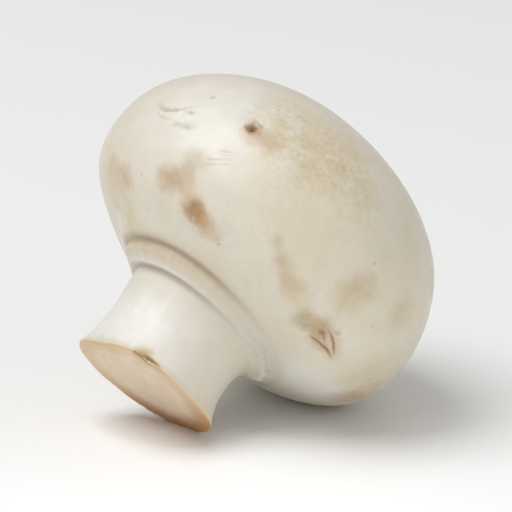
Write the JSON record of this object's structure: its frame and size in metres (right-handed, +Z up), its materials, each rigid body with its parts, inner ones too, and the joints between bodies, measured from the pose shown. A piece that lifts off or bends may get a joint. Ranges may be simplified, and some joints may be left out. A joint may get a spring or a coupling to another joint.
{
  "type": "button mushroom",
  "caption": "Closed-cup white button mushroom with a veil round its cut stem, lying on its side.",
  "frame": {"origin": "middle of the bounding box's bottom, on the surface the mushroom lies on", "axes": "+Z up, +X level from the cut stem towards the top of the cap, +Y level across the cap"},
  "size_m": [0.0426, 0.045, 0.0417],
  "materials": {
    "mushroom_flesh": "matte off-white skin, tan where bruised, beige on the cut"
  },
  "bodies": {
    "root": {"mushroom": "mushroom_flesh"}
  },
  "joints": []
}
